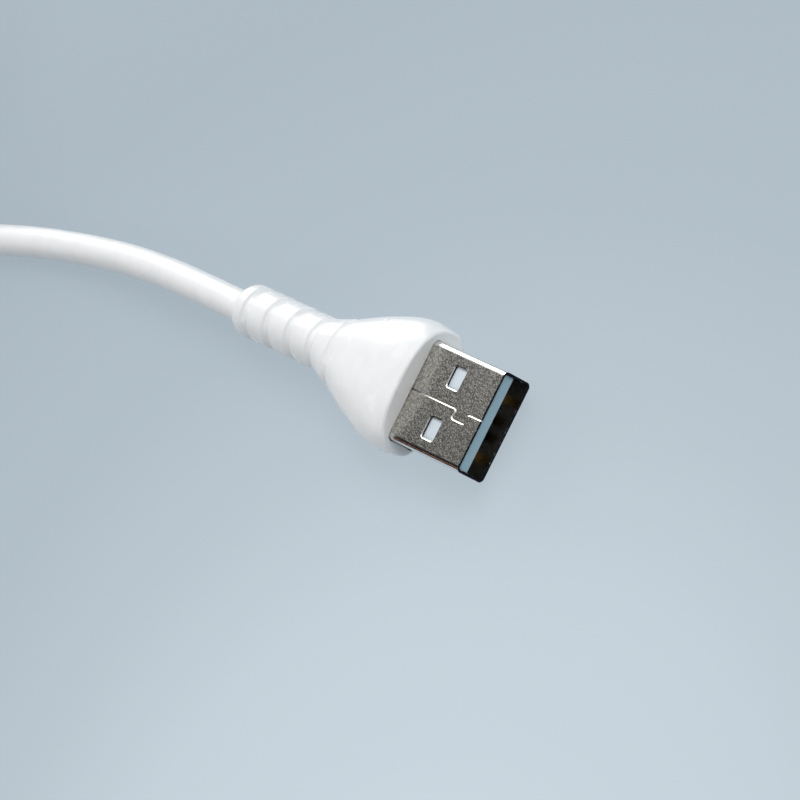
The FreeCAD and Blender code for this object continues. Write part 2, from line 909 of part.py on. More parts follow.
doc.recompute()
for thing in doc.Objects:
    if "Invalid" in thing.State or "Error" in thing.State:
        raise RuntimeError("%s failed: %s" % (thing.Label, thing.State))
for thing in finished:
    if thing.Shape.isNull() or not thing.Shape.isValid() or not thing.Shape.Solids:
        raise RuntimeError("%s has no sound solid" % thing.Label)
for thing in finished:
    solids = len(thing.Shape.Solids)
    print("%-26s solids %d  volume %.3f" % (thing.Label, solids, thing.Shape.Volume))
    thing.Shape.exportStep("parts/%s.step" % thing.Label)
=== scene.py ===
import math

import bpy
import numpy as np
from mathutils import Matrix, Vector


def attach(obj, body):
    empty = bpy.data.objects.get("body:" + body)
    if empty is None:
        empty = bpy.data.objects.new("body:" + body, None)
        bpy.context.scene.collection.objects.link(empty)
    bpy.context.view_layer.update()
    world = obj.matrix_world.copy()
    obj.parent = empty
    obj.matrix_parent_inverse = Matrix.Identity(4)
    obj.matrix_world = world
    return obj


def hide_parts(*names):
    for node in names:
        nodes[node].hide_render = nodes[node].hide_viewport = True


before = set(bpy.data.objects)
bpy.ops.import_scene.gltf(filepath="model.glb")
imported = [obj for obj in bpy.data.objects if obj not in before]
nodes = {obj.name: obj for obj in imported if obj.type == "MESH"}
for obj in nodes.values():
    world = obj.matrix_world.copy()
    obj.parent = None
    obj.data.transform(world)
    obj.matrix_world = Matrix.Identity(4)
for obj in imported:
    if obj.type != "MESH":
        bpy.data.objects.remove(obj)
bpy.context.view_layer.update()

# lengths are in millimetres until a mesh or a curve is filled
scene = bpy.context.scene
millimetre = 0.001
hostOrigin = np.array([9.75, 0.0, 4.05])  # middle of the host mould's front face
deviceOrigin = np.array([-115.0, 12.575, 14.44])  # middle of the device mould's front face
cordRadius = 1.85


# Colour and nodes

def toLinear(hexText):
    # sRGB hex to the linear colour that a node takes
    channels = [int(hexText[i:i + 2], 16) / 255 for i in (0, 2, 4)]
    return [c / 12.92 if c <= 0.04045 else ((c + 0.055) / 1.055) ** 2.4 for c in channels] + [1.0]


def addNode(owner, kind, settings=None, inputs=None, stops=()):
    # inputs are plain values or sockets to link from; stops are a ramp's places and colours
    node = owner.node_tree.nodes.new(kind)
    for key, value in (settings or {}).items():
        setattr(node, key, value)
    for key, value in (inputs or {}).items():
        if isinstance(value, bpy.types.NodeSocket):
            owner.node_tree.links.new(value, node.inputs[key])
        else:
            node.inputs[key].default_value = value
    if stops:
        elements = node.color_ramp.elements
        while len(elements) < len(stops):
            elements.new(0.5)
        for element, (spot, colour) in zip(elements, stops):
            element.position = spot
            element.color = toLinear(colour)
    return node


def newMaterial(name, values):
    material = bpy.data.materials.new(name)
    material.use_nodes = True
    shader = material.node_tree.nodes["Principled BSDF"]
    for key, value in values.items():
        shader.inputs[key].default_value = value
    place = addNode(material, "ShaderNodeTexCoord").outputs["Object"]
    return material, shader, place


def feed(material, shader, sources):
    for socket, source in sources.items():
        material.node_tree.links.new(source, shader.inputs[socket])


def perMetre(sizeMm):
    # pattern scale that gives marks about this many millimetres across
    return 1 / (sizeMm * millimetre)


# Materials

def mouldedPlastic(name, shades, roughness, grainMm, grainDepthMm, coat=0.0):
    # moulded plastic: faint cloudy colour, a fine eroded grain, gloss that varies a little
    material, shader, place = newMaterial(name, {"Coat Weight": coat, "Coat Roughness": 0.25, "IOR": 1.5})
    cloud = addNode(material, "ShaderNodeTexNoise", None, {
        "Vector": place,
        "Scale": perMetre(2.2),
        "Detail": 4.0,
    })
    grain = addNode(material, "ShaderNodeTexNoise", None, {
        "Vector": place,
        "Scale": perMetre(grainMm),
        "Detail": 2.0,
    })
    stops = list(zip((0.3, 0.7), shades))
    colour = addNode(material, "ShaderNodeValToRGB", None, {"Fac": cloud.outputs["Fac"]}, stops)
    gloss = addNode(material, "ShaderNodeMapRange", None, {
        "Value": cloud.outputs["Fac"],
        "To Min": roughness - 0.06,
        "To Max": roughness + 0.06,
    })
    bump = addNode(material, "ShaderNodeBump", None, {
        "Height": grain.outputs["Fac"],
        "Distance": grainDepthMm * millimetre,
        "Strength": 0.35,
    })
    feed(material, shader, {
        "Base Color": colour.outputs["Color"],
        "Roughness": gloss.outputs["Result"],
        "Normal": bump.outputs["Normal"],
    })
    return material


def platedMetal(name, stops, roughness, grainMm, grainDepthMm, stretch=(1, 1, 1)):
    # plated sheet: an almost even colour, with tiny pits that catch light and dark as flecks
    material, shader, place = newMaterial(name, {"Metallic": 1.0})
    drawn = addNode(material, "ShaderNodeMapping", None, {"Vector": place, "Scale": stretch})
    grain = addNode(material, "ShaderNodeTexNoise", None, {
        "Vector": drawn.outputs["Vector"],
        "Scale": perMetre(grainMm),
        "Detail": 3.0,
    })
    cloud = addNode(material, "ShaderNodeTexNoise", None, {
        "Vector": place,
        "Scale": perMetre(1.6),
        "Detail": 2.0,
    })
    colour = addNode(material, "ShaderNodeValToRGB", None, {"Fac": grain.outputs["Fac"]}, stops)
    gloss = addNode(material, "ShaderNodeMapRange", None, {
        "Value": cloud.outputs["Fac"],
        "To Min": roughness - 0.05,
        "To Max": roughness + 0.05,
    })
    bump = addNode(material, "ShaderNodeBump", None, {
        "Height": grain.outputs["Fac"],
        "Distance": grainDepthMm * millimetre,
        "Strength": 0.8,
    })
    feed(material, shader, {
        "Base Color": colour.outputs["Color"],
        "Roughness": gloss.outputs["Result"],
        "Normal": bump.outputs["Normal"],
    })
    return material


def tonguePlasticPaintedShade(name):
    # pale tongue: bluish white behind the windows, with painted shade in grey blue at its open end in the
    # shell's mouth
    material = mouldedPlastic(name, ("cbd5dd", "d2dce4"), 0.5, 0.12, 0.003)
    shader = material.node_tree.nodes["Principled BSDF"]
    cloud = shader.inputs["Base Color"].links[0].from_socket
    place = addNode(material, "ShaderNodeTexCoord").outputs["Object"]
    along = addNode(material, "ShaderNodeSeparateXYZ", None, {"Vector": place})
    share = addNode(material, "ShaderNodeMapRange", None, {
        "Value": along.outputs["X"],
        "From Min": 18.5 * millimetre,
        "From Max": 20.5 * millimetre,
    })
    # the open end is blended to grey blue: painted shade
    mixed = addNode(material, "ShaderNodeMix", {"data_type": "RGBA"}, {
        0: share.outputs["Result"],
        6: cloud,
        7: toLinear("a2bfca"),
    })
    feed(material, shader, {"Base Color": mixed.outputs[2]})
    return material


def wovenStrap(name):
    # grey hook-and-loop webbing: ribs 0.7 mm apart, crossed by wider slanting ones, under soft matt fuzz
    material, shader, place = newMaterial(name, {
        "Sheen Weight": 0.4,
        "Sheen Roughness": 0.5,
        "Roughness": 0.85,
    })
    ribs = [
        addNode(material, "ShaderNodeTexWave", {"bands_direction": direction}, {
            "Vector": place,
            "Scale": perMetre(0.7) * math.pi / 10,  # at a scale of 1 its straight bands are pi / 10 apart
            "Distortion": 0.6,
        })
        for direction in ("X", "DIAGONAL")
    ]
    weave = addNode(material, "ShaderNodeMath", {"operation": "MULTIPLY"}, {
        0: ribs[0].outputs["Fac"],
        1: ribs[1].outputs["Fac"],
    })
    fuzz = addNode(material, "ShaderNodeTexNoise", None, {
        "Vector": place,
        "Scale": perMetre(0.5),
        "Detail": 5.0,
    })
    height = addNode(material, "ShaderNodeMath", {"operation": "MULTIPLY_ADD"}, {
        0: fuzz.outputs["Fac"],
        1: 0.5,
        2: weave.outputs["Value"],
    })
    shades = [(0.2, "8b9096"), (0.9, "b9bec3")]
    colour = addNode(material, "ShaderNodeValToRGB", None, {"Fac": height.outputs["Value"]}, shades)
    bump = addNode(material, "ShaderNodeBump", None, {
        "Height": height.outputs["Value"],
        "Distance": 0.08 * millimetre,
        "Strength": 0.8,
    })
    feed(material, shader, {"Base Color": colour.outputs["Color"], "Normal": bump.outputs["Normal"]})
    return material


# name, shades, roughness, grain width and grain depth in millimetres
mouldWhite = mouldedPlastic("satin white elastomer", ("ebeced", "f1f2f2"), 0.26, 0.1, 0.003, coat=0.1)
jacketWhite = mouldedPlastic("smooth white jacket", ("ebecec", "f1f1f2"), 0.38, 0.14, 0.003, coat=0.1)
tongueWithPaintedShade = tonguePlasticPaintedShade("pale blue white tongue plastic with painted shade")
blockWhite = mouldedPlastic("white contact block plastic", ("e4e5e6", "ecedee"), 0.45, 0.12, 0.002)
milkyMould = mouldedPlastic("milky inner mould plastic", ("cfd2d4", "dadcdd"), 0.5, 0.2, 0.005)
boardGreen = mouldedPlastic("green lacquered laminate", ("1c4c33", "27603f"), 0.3, 0.15, 0.003, coat=0.4)
# the same for metal, with each shade's place on the grain; the shell's grit is drawn coarse enough to show
shellStops = [(0.36, "9c988f"), (0.5, "cbc7be"), (0.64, "ebe7df")]
# dark with bright flecks on the mouth's bevels: painted shade with painted glints
shadeGlintStops = [(0.56, "191b1f"), (0.64, "f4f2ec")]
goldStops = [(0.3, "c79a45"), (0.7, "e2bd6c")]
shellSteel = platedMetal("blasted nickel plate", shellStops, 0.2, 0.2, 0.024)
rolledSteel = platedMetal("smooth rolled nickel edge", [(0.3, "dedbd6"), (0.7, "eae8e4")], 0.2, 0.25, 0.003)
# near-black plate for the cut walls and the mouth's front edge: painted shade
paintedShadeSteel = platedMetal("sheared edge with painted shade", [(0.35, "14161a"), (0.65, "24262b")], 0.5, 0.2, 0.005)
paintedShadeGlintEdge = platedMetal("mouth bevel with painted shade and glints", shadeGlintStops, 0.4, 0.45, 0.006)
# a darker brownish copy of the plate for the hollow's inside: painted shade
paintedShadeInnerSteel = platedMetal("inner sheet with painted shade", [(0.35, "6f655c"), (0.65, "857b70")], 0.25, 0.4, 0.004)
# near white plate for the seam's edge: partly painted highlight
paintedHighlightSeam = platedMetal("seam edge with painted highlight", [(0.3, "efe9dc"), (0.7, "fbf6ea")], 0.35, 0.3, 0.003)
tabSteel = platedMetal("satin plated tab", [(0.3, "b3b4b5"), (0.7, "c9cacb")], 0.28, 0.12, 0.003)
tinPlate = platedMetal("bright tin plate", [(0.3, "a9abad"), (0.7, "c3c5c7")], 0.25, 0.3, 0.004)
contactGold = platedMetal("gold plated contact", goldStops, 0.22, 0.1, 0.002, stretch=(1, 6, 6))
strapGrey = wovenStrap("grey woven strap")
wireShades = {
    "red": ("a3201f", "b92a26"),
    "white": ("e6e6e4", "f0f0ee"),
    "green": ("1f6b34", "29813f"),
    "black": ("17181a", "212225"),
}
wirePlastics = {
    colour: mouldedPlastic(colour + " wire insulation", shades, 0.35, 0.1, 0.002)
    for colour, shades in wireShades.items()
}
print("materials", len(bpy.data.materials))


# Meshes and flat lines

def newPiece(name, points, faces, material, stands, smooth=True):
    mesh = bpy.data.meshes.new(name)
    mesh.from_pydata((points * millimetre).tolist(), [], faces)
    mesh.materials.append(material)
    mesh.polygons.foreach_set("use_smooth", np.full(len(mesh.polygons), smooth))
    return keepPiece(name, mesh, stands)


def keepPiece(name, data, stands):
    piece = bpy.data.objects.new(name, data)
    scene.collection.objects.link(piece)
    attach(piece, "root")
    if stands:
        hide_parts(*stands)
    return piece


def closedTube(rings, flip=False):
    # quads from each ring to the next, a fan of triangles over each end; flip turns every face round
    count, size = rings.shape[:2]
    here = np.arange(size)
    after = (here + 1) % size
    base = (np.arange(count - 1) * size)[:, None]
    quads = np.stack([base + here, base + after, base + size + after, base + size + here], axis=-1)
    quads = quads.reshape(-1, 4)
    start = (count - 1) * size
    fans = np.vstack([
        np.stack([np.full(size, count * size), after, here], axis=1),
        np.stack([np.full(size, count * size + 1), start + here, start + after], axis=1),
    ])
    if flip:
        quads, fans = quads[:, ::-1], fans[:, ::-1]
    points = np.vstack([rings.reshape(-1, 3), rings[0].mean(axis=0), rings[-1].mean(axis=0)])
    return points, quads.tolist() + fans.tolist()


def evenWalk(walk, count, endpoint=True):
    # points at equal steps along a line of straight runs
    run = np.concatenate([[0], np.cumsum(np.linalg.norm(np.diff(walk, axis=0), axis=1))])
    spots = np.linspace(0, run[-1], count, endpoint=endpoint)
    return np.stack([np.interp(spots, run, walk[:, 0]), np.interp(spots, run, walk[:, 1])], axis=1)


def leftOf(walk):
    # unit vector to the left of a flat line at each of its points
    along = np.gradient(walk, axis=0)
    along /= np.linalg.norm(along, axis=1)[:, None]
    return np.stack([-along[:, 1], along[:, 0]], axis=1)


def cornerArc(centre, radius, start, steps, sweep=90):
    # points on a circle from the start angle through the sweep, in degrees
    angle = np.radians(np.linspace(start, start + sweep, steps))
    return np.stack([centre[0] + radius * np.cos(angle), centre[1] + radius * np.sin(angle)], axis=1)


def naturalSpline(knots, values, where):
    # smooth cubic curve through the knots with no bend at either end
    gaps = np.diff(knots)
    size = len(knots)
    system = np.eye(size)
    right = np.zeros(size)
    for i in range(1, size - 1):
        system[i, i - 1:i + 2] = gaps[i - 1], 2 * (gaps[i - 1] + gaps[i]), gaps[i]
        right[i] = 6 * ((values[i + 1] - values[i]) / gaps[i] - (values[i] - values[i - 1]) / gaps[i - 1])
    bend = np.linalg.solve(system, right)
    index = np.clip(np.searchsorted(knots, where) - 1, 0, size - 2)
    gap = gaps[index]
    a = (knots[index + 1] - where) / gap
    b = (where - knots[index]) / gap
    curve = ((a ** 3 - a) * bend[index] + (b ** 3 - b) * bend[index + 1]) * gap ** 2 / 6
    return a * values[index] + b * values[index + 1] + curve


# Plug moulds: rings from the hole in the front face over the face, round its rim, along the grip
# and the ribbed relief, and into the cord's hole

moulding = {
    "sideSteps": 56,
    "landSteps": 28,
    "sideTurn": 1.1,  # the sides take this angle each way from level, the lands take the rest
    "gripStep": 0.25,
    "fineStep": 0.07,
    "fineRun": 5.0,  # the grip's last stretch is as fine as the relief
    "lipBlend": 0.06,
    "holeEdge": 0.12,
    "holeBevel": 0.03,
    "cordClearance": 0.03,
    "cordHoleDepth": 1.2,
    "cordHoleEdge": 0.06,
}
ringAngles = np.concatenate([
    np.linspace(start, stop, steps, endpoint=False)
    for start, stop, steps in (
        (-moulding["sideTurn"], moulding["sideTurn"], moulding["sideSteps"]),
        (moulding["sideTurn"], math.pi - moulding["sideTurn"], moulding["landSteps"]),
        (math.pi - moulding["sideTurn"], math.pi + moulding["sideTurn"], moulding["sideSteps"]),
        (math.pi + moulding["sideTurn"], 2 * math.pi - moulding["sideTurn"], moulding["landSteps"]),
    )
])


def ovalRings(halfWidth, top, bottom, power):
    # superellipse with its own height above and below: |y / width| ** power + |z / height| ** power = 1
    halfWidth, top, bottom, power = (np.atleast_1d(v)[:, None] for v in (halfWidth, top, bottom, power))
    across, up = np.cos(ringAngles), np.sin(ringAngles)
    return np.stack([
        halfWidth * np.sign(across) * np.abs(across) ** (2 / power),
        np.where(up > 0, top, bottom) * np.sign(up) * np.abs(up) ** (2 / power),
    ], axis=-1)


def roundRings(radius):
    # with a power of 2 and even heights the superellipse is a circle
    return ovalRings(radius, radius, radius, 2.0)


def holeRing(halfWidth, halfHeight, corner, landPart):
    # rounded rectangle in the same ring order as the mould's sections, so that the face has even quads
    split = (halfWidth - corner) * landPart
    walk = np.vstack([
        [(split, -halfHeight)],
        cornerArc((halfWidth - corner, corner - halfHeight), corner, -90, 10),
        cornerArc((halfWidth - corner, halfHeight - corner), corner, 0, 10),
        [(split, halfHeight)],
    ])
    side = evenWalk(walk, moulding["sideSteps"], endpoint=False)
    across = np.linspace(split, -split, moulding["landSteps"], endpoint=False)
    top = np.stack([across, np.full(len(across), halfHeight)], axis=1)
    return np.vstack([side, top, -side, -top])


def plugMould(name, origin, mould, stands):
    # one closed skin of rings, each a section at its own distance behind the front face
    stations = np.array(mould["stations"])
    setback = stations[:, 0]
    root, length = setback[-1], mould["length"]
    edge, collar, radius = mould["faceEdge"], mould["collarEdge"], mould["reliefRadius"]

    def section(depth, inset):
        # smooth curves through the stations give each section's width, heights and squareness
        width, top, bottom, power = (naturalSpline(setback, column, depth) for column in stations.T[1:])
        return ovalRings(width - inset, top - inset, bottom - inset, power)

    def grooveCut(depth):
        # round-bottomed grooves: a circle through the floor and both lips, averaged over the lip's blend
        sag, half = mould["grooveDepth"], mould["grooveWidth"] / 2
        bowl = (sag ** 2 + half ** 2) / (2 * sag)
        samples = depth[:, None] + np.linspace(-moulding["lipBlend"], moulding["lipBlend"], 7)
        away = np.abs(samples[:, :, None] - np.array(mould["grooves"])).min(axis=-1)
        cut = np.sqrt(bowl ** 2 - np.minimum(away, half) ** 2) - (bowl - sag)
        return np.maximum(cut, 0.0).mean(axis=1)

    hole = holeRing(*mould["hole"])
    outward = hole / np.linalg.norm(hole, axis=1)[:, None]
    bevel, lip = moulding["holeBevel"], moulding["holeEdge"]
    holeRings = [hole, hole, hole * (1 + bevel / hole.max()), hole + lip * outward]
    face = section(np.zeros(1), edge)
    faceShares = np.array([0.35, 0.7, 0.97, 1.0])
    rimTurn = np.linspace(0, math.pi / 2, 13)[1:]
    rim = edge - edge * np.cos(rimTurn)
    fineStart = root - moulding["fineRun"]
    grip = np.concatenate([
        np.arange(edge + moulding["gripStep"], fineStart, moulding["gripStep"]),
        np.arange(fineStart, root, moulding["fineStep"]),
    ])
    gripRings = section(grip, 0.0)
    reach = np.linalg.norm(gripRings, axis=-1)
    gripRings = gripRings * ((reach - grooveCut(grip)[:, None]) / reach)[:, :, None]
    relief = np.arange(root, length - collar, moulding["fineStep"])
    endTurn = np.linspace(0, math.pi / 2, 11)
    clearance = moulding["cordClearance"]
    blocks = [
        ([mould["holeDepth"], lip, bevel, 0.0], holeRings),
        (np.zeros(len(faceShares)), hole + (face - hole) * faceShares[:, None, None]),
        (rim, section(rim, edge - edge * np.sin(rimTurn))),
        (grip, gripRings),
        (relief, roundRings(radius - grooveCut(relief))),
        (
            length - collar + collar * np.sin(endTurn),
            roundRings(radius - collar + collar * np.cos(endTurn)),
        ),
        (
            length - np.array([0.0, moulding["cordHoleEdge"], moulding["cordHoleDepth"]]),
            roundRings(cordRadius + np.array([lip, clearance, clearance])),
        ),
    ]
    depth = np.concatenate([block[0] for block in blocks])
    outline = np.concatenate([block[1] for block in blocks])
    # from the front face back the mould drifts to one side; the hole stays with the plug
    near, far = mould["lean"]
    sway = near + (far - near) * np.minimum(1.0, depth / root)
    sway[:len(holeRings)] = 0.0
    rings = np.empty(outline.shape[:2] + (3,))
    rings[:, :, 0] = -depth[:, None]
    rings[:, :, 1] = outline[:, :, 0] + sway[:, None]
    rings[:, :, 2] = outline[:, :, 1]
    points, faces = closedTube(rings + origin, flip=True)
    return newPiece(name, points, faces, mouldWhite, stands)


hostMould = {
    # setback, half width, height above the axis, height below it, squareness
    "stations": [
        (0.0, 7.38, 4.55, 3.8, 2.45),
        (2.8, 7.7, 4.72, 4.025, 2.5),
        (6.4, 6.9, 4.52, 3.975, 2.5),
        (9.6, 5.78, 4.12, 3.75, 2.45),
        (12.6, 4.55, 3.65, 3.4, 2.3),
        (16.89, 3.18, 3.15, 3.15, 2.0),
    ],
    "hole": (6.02, 2.27, 0.67, 0.86),  # half width, half height, corner, the flat's share
    "lean": (0.12, 0.44),  # sideways drift at the face and at the relief
    "holeDepth": 1.2,
    "faceEdge": 0.35,
    "length": 31.0,
    "grooves": (13.02, 16.89, 20.76, 24.63, 28.5),
    "grooveDepth": 0.5,
    "grooveWidth": 1.3,
    "reliefRadius": 3.1,
    "collarEdge": 0.9,
}
hostOvermould = plugMould("hostOvermould", hostOrigin, hostMould, ["host_overmould"])
print("host mould", len(hostOvermould.data.polygons))

deviceMould = {
    "stations": [
        (0.0, 4.8, 3.1, 3.1, 3.0),
        (3.4, 5.15, 3.29, 3.29, 3.0),
        (8.0, 4.9, 3.25, 3.25, 3.2),
        (11.6, 4.16, 3.18, 3.18, 3.4),
        (15.76, 3.15, 3.15, 3.15, 2.0),
    ],
    "hole": (3.37, 0.77, 0.45, 0.8),
    "lean": (0.0, 0.0),
    "holeDepth": 1.0,
    "faceEdge": 0.35,
    "length": 26.0,
    "grooves": (15.76, 19.63, 23.5),
    "grooveDepth": 0.5,
    "grooveWidth": 1.3,
    "reliefRadius": 3.1,
    "collarEdge": 0.9,
}
deviceOvermould = plugMould("deviceOvermould", deviceOrigin, deviceMould, ["device_overmould"])
print("device mould", len(deviceOvermould.data.polygons))


# Cord: the route's own points, then the turns of the hank, then the tail into the device plug

leadRoute = [
    (-3.25, 0.0, 4.05),
    (-24.0, 0.35, 4.05),
    (-40.0, 0.25, 3.3),
    (-53.0, -1.2, 1.9),
    (-66.0, -3.95, 1.85),
    (-78.0, -8.0, 1.85),
    (-90.0, -12.2, 1.85),
]
hank = {
    "nearFold": -97.0,
    "farFold": -152.5,
    "side": 1.0,  # the middle line's Y
    "inner": 11.2,  # the two columns' distances from the middle line
    "outer": 14.95,
    "layers": (1.85, 5.57, 9.29),
    "runPoints": 8,
    "foldSwell": 1.015,  # the curve cuts inside its points at the folds
    "firstSpot": -101.0,  # where the lead joins the first run
    "changeRun": 13.0,  # length over which a run changes its column or layer
    "tie": -124.75,
    "tieLift": 0.8,  # the tied run lies on the strap
    "tieHalf": 5.0,
    "tieFade": 9.0,
}
# each turn: column and layer on its first run and far fold, where it changes on its second run, and to what
turnPlan = [
    ("outer", 0, None, "outer", 0),
    ("inner", 0, -104.0, "inner", 1),
    ("inner", 1, -117.0, "outer", 1),
    ("outer", 1, -130.0, "outer", 2),
    ("outer", 2, -143.0, "inner", 2),
    ("inner", 2, None, "inner", 2),
]
tailRoute = [
    (-147.5, 12.35, 13.7),
    (-141.0, 12.575, 14.4),
    (-131.3, 12.575, 14.44),
]


def smoothStep(value):
    # three times the square less twice the cube, level at 0 and at 1
    value = np.clip(value, 0.0, 1.0)
    return value * value * (3 - 2 * value)


def placed(x, y, z):
    # one row for each point, a single value repeated in every row
    return np.stack(np.broadcast_arrays(x, y, z), axis=-1).tolist()


def hankTurns():
    # each turn is a run along the tied side, the far fold, a run back along the other side and the near fold
    points = []
    side = hank["side"]
    runSpots = np.linspace(hank["nearFold"], hank["farFold"], hank["runPoints"])
    degrees = np.arange(0, 181, 30)
    turn = np.radians(degrees)
    for number, (column, layer, change, nextColumn, nextLayer) in enumerate(turnPlan):
        radius, height = hank[column], hank["layers"][layer]
        endRadius, endHeight = hank[nextColumn], hank["layers"][nextLayer]
        out = runSpots[:-1]
        if number == 0:
            out = out[out <= hank["firstSpot"]]
        fromTie = np.abs(out - hank["tie"]) - hank["tieHalf"]
        lift = hank["tieLift"] * (1 - smoothStep(fromTie / hank["tieFade"]))
        points += placed(out, side - radius, height + lift)
        last = number == len(turnPlan) - 1
        rise = 2 * cordRadius * smoothStep((degrees - 60) / 120) if last else 0.0
        wide = radius * hank["foldSwell"]
        points += placed(hank["farFold"] - wide * np.sin(turn), side - wide * np.cos(turn), height + rise)
        if last:
            break
        home = runSpots[::-1][1:-1]
        share = 0.0 if change is None else smoothStep((home - change) / hank["changeRun"] + 0.5)
        across = side + radius + (endRadius - radius) * share
        points += placed(home, across, height + (endHeight - height) * share)
        following = hank[turnPlan[number + 1][0]]
        wide = (endRadius + (following - endRadius) * smoothStep(degrees / 75)) * hank["foldSwell"]
        points += placed(hank["nearFold"] + wide * np.sin(turn), side + wide * np.cos(turn), endHeight)
    return points


route = np.array(leadRoute + hankTurns() + tailRoute)
cordCurve = bpy.data.curves.new("cord", "CURVE")
cordCurve.dimensions = "3D"
spline = cordCurve.splines.new("NURBS")
spline.points.add(len(route) - 1)
spline.points.foreach_set("co", np.column_stack([route * millimetre, np.ones(len(route))]).ravel())
spline.order_u = 3
spline.use_endpoint_u = True
spline.resolution_u = 10
cordCurve.bevel_depth = cordRadius * millimetre
cordCurve.bevel_resolution = 7
cordCurve.use_fill_caps = True
cordCurve.materials.append(jacketWhite)
cord = keepPiece("cord", cordCurve, ["cord_lead", "cord_hank", "cord_tail"])
print("cord points", len(route))


# Tie: one strip of webbing wound round the hank's near side, its end laid back over the top

strap = {
    "x": hank["tie"],
    "width": 7.0,
    "thickness": 0.8,
    "bundle": (-15.8, -8.35),  # the tied runs' left and right
    "top": 11.94,
    "corner": 1.4,
    "start": 2.6,
    # the lap: distance from the strap's left side, and rise over the strap's own start
    "lap": [(2.2, 0.0), (3.4, 0.06), (5.2, 0.5488), (6.2, 0.784), (8.0, 0.784)],
    "steps": 220,
    "ringSteps": 28,
}


def strapPath():
    # middle line of the strip in the Y and Z plane, once round from the top and over its own start
    half = strap["thickness"] / 2
    left, right = strap["bundle"][0] - half, strap["bundle"][1] + half
    low, high = half, strap["top"] + half
    corner = strap["corner"]
    corners = (
        ((right - corner, high - corner), 90),
        ((right - corner, low + corner), 0),
        ((left + corner, low + corner), -90),
        ((left + corner, high - corner), -180),
    )
    return np.vstack(
        [[(right - strap["start"], high), (right - corner, high)]]
        + [cornerArc(centre, corner, start, 7, -90) for centre, start in corners]
        + [[(left + away, high + rise) for away, rise in strap["lap"]]]
    )


def strapPiece():
    path = evenWalk(strapPath(), strap["steps"])
    for smoothing in range(4):
        path[1:-1] = (path[:-2] + 2 * path[1:-1] + path[2:]) / 4
    out = leftOf(path)
    angle = np.linspace(0, 2 * math.pi, strap["ringSteps"], endpoint=False)
    # flat strip section with round selvedges: a flattened superellipse carried along the path
    across = np.sign(np.cos(angle)) * np.abs(np.cos(angle)) ** 0.3 * strap["width"] / 2
    thick = np.sign(np.sin(angle)) * np.abs(np.sin(angle)) ** 0.45 * strap["thickness"] / 2
    rings = np.empty((len(path), len(angle), 3))
    rings[:, :, 0] = strap["x"] + across
    rings[:, :, 1] = path[:, :1] + out[:, :1] * thick
    rings[:, :, 2] = path[:, 1:] + out[:, 1:] * thick
    points, faces = closedTube(rings)
    return newPiece("strapTie", points, faces, strapGrey, ["hank_tie"])


tie = strapPiece()
print("tie", len(tie.data.polygons))


# Host shell: folded plated sheet with windows and a locked seam

shell = {
    "halfWidth": 6.0,
    "halfHeight": 2.25,
    "wall": 0.3,
    "corner": 0.65,
    "back": -4.5,
    "front": 11.5,
    "windowX": 5.4,
    "windowY": 3.05,
    "windowHalf": (0.95, 1.25),
    "windowCorner": 0.3,
    "windowEdge": (0.12, 0.055),  # how far the edge flares, and how deep
    "seamGap": 0.18,
    "seamShut": 0.02,  # half the gap where the lock is pressed shut
    "seamRound": 0.4,
    "seamHeights": (1.0, 3.0),  # the seam is cut through the top sheet alone
    "lock": (7.5, 9.3, 0.25, -1.15),  # neck's back and front, flare, floor
    "bevel": 0.04,
    "mouthEdge": 0.06,
}
shellFinishes = (shellSteel, paintedShadeSteel, paintedShadeInnerSteel, rolledSteel, paintedShadeGlintEdge)


def roundedOutline(halfA, halfB, corner, steps=8):
    # rectangle with a quarter circle at each corner
    return np.vstack([
        cornerArc((sideA * (halfA - corner), sideB * (halfB - corner)), corner, start, steps)
        for sideA, sideB, start in ((1, 1, 0), (-1, 1, 90), (-1, -1, 180), (1, -1, 270))
    ])


def newSolid(name, points, faces):
    # a helper object in millimetres, removed once the shell is cut
    mesh = bpy.data.meshes.new(name)
    mesh.from_pydata(points.tolist(), [], faces)
    solid = bpy.data.objects.new(name, mesh)
    scene.collection.objects.link(solid)
    return solid


def prism(name, outline, low, high, axis):
    # closed prism over a flat outline, along X or Z
    count = len(outline)
    columns = (2, 0, 1) if axis == "X" else (0, 1, 2)
    ends = [np.column_stack([outline, np.full(count, end)])[:, columns] for end in (low, high)]
    here = np.arange(count)
    after = (here + 1) % count
    walls = np.stack([here, after, count + after, count + here], axis=1)
    faces = [here[::-1].tolist(), (count + here).tolist()] + walls.tolist()
    return newSolid(name, np.vstack(ends), faces)


def flaredCut(name, outline, levels):
    # copies of one outline, grown outwards by a stated amount at each height
    along = np.roll(outline, -1, 0) - np.roll(outline, 1, 0)
    along /= np.linalg.norm(along, axis=1)[:, None]
    out = np.stack([along[:, 1], -along[:, 0]], axis=1)
    rings = [
        np.column_stack([outline + out * grow, np.full(len(outline), height)])
        for height, grow in levels
    ]
    return newSolid(name, *closedTube(np.array(rings)))


def seamLine(back, front):
    # straight down the middle of the sheet, with a dovetail lock
    neckBack, neckFront, flare, floor = shell["lock"]
    return np.array([
        (back, 0.0),
        (neckBack, 0.0),
        (neckBack - flare, floor),
        (neckFront + flare, floor),
        (neckFront, 0.0),
        (front, 0.0),
    ])


def roundedLine(line, steps):
    # each inner corner becomes a parabola from one side to the other
    t = np.linspace(0, 1, steps)[:, None]
    walk = [line[:1]]
    for before, corner, after in zip(line, line[1:], line[2:]):
        start, end = (
            corner + (other - corner) / np.linalg.norm(other - corner) * shell["seamRound"]
            for other in (before, after)
        )
        walk.append((1 - t) ** 2 * start + 2 * t * (1 - t) * corner + t ** 2 * end)
    return np.vstack(walk + [line[-1:]])


def seamSides(walk, extra):
    # both edges of the seam's gap; the lock's front side is pressed shut
    neckFront, floor = shell["lock"][1], shell["lock"][3]
    shut = (walk[:, 0] > neckFront - 0.15) & (walk[:, 1] > floor + 0.1) & (walk[:, 1] < -0.15)
    half = np.where(shut, shell["seamShut"], shell["seamGap"] / 2) + extra
    out = leftOf(walk) * half[:, None]
    return walk + out, walk - out


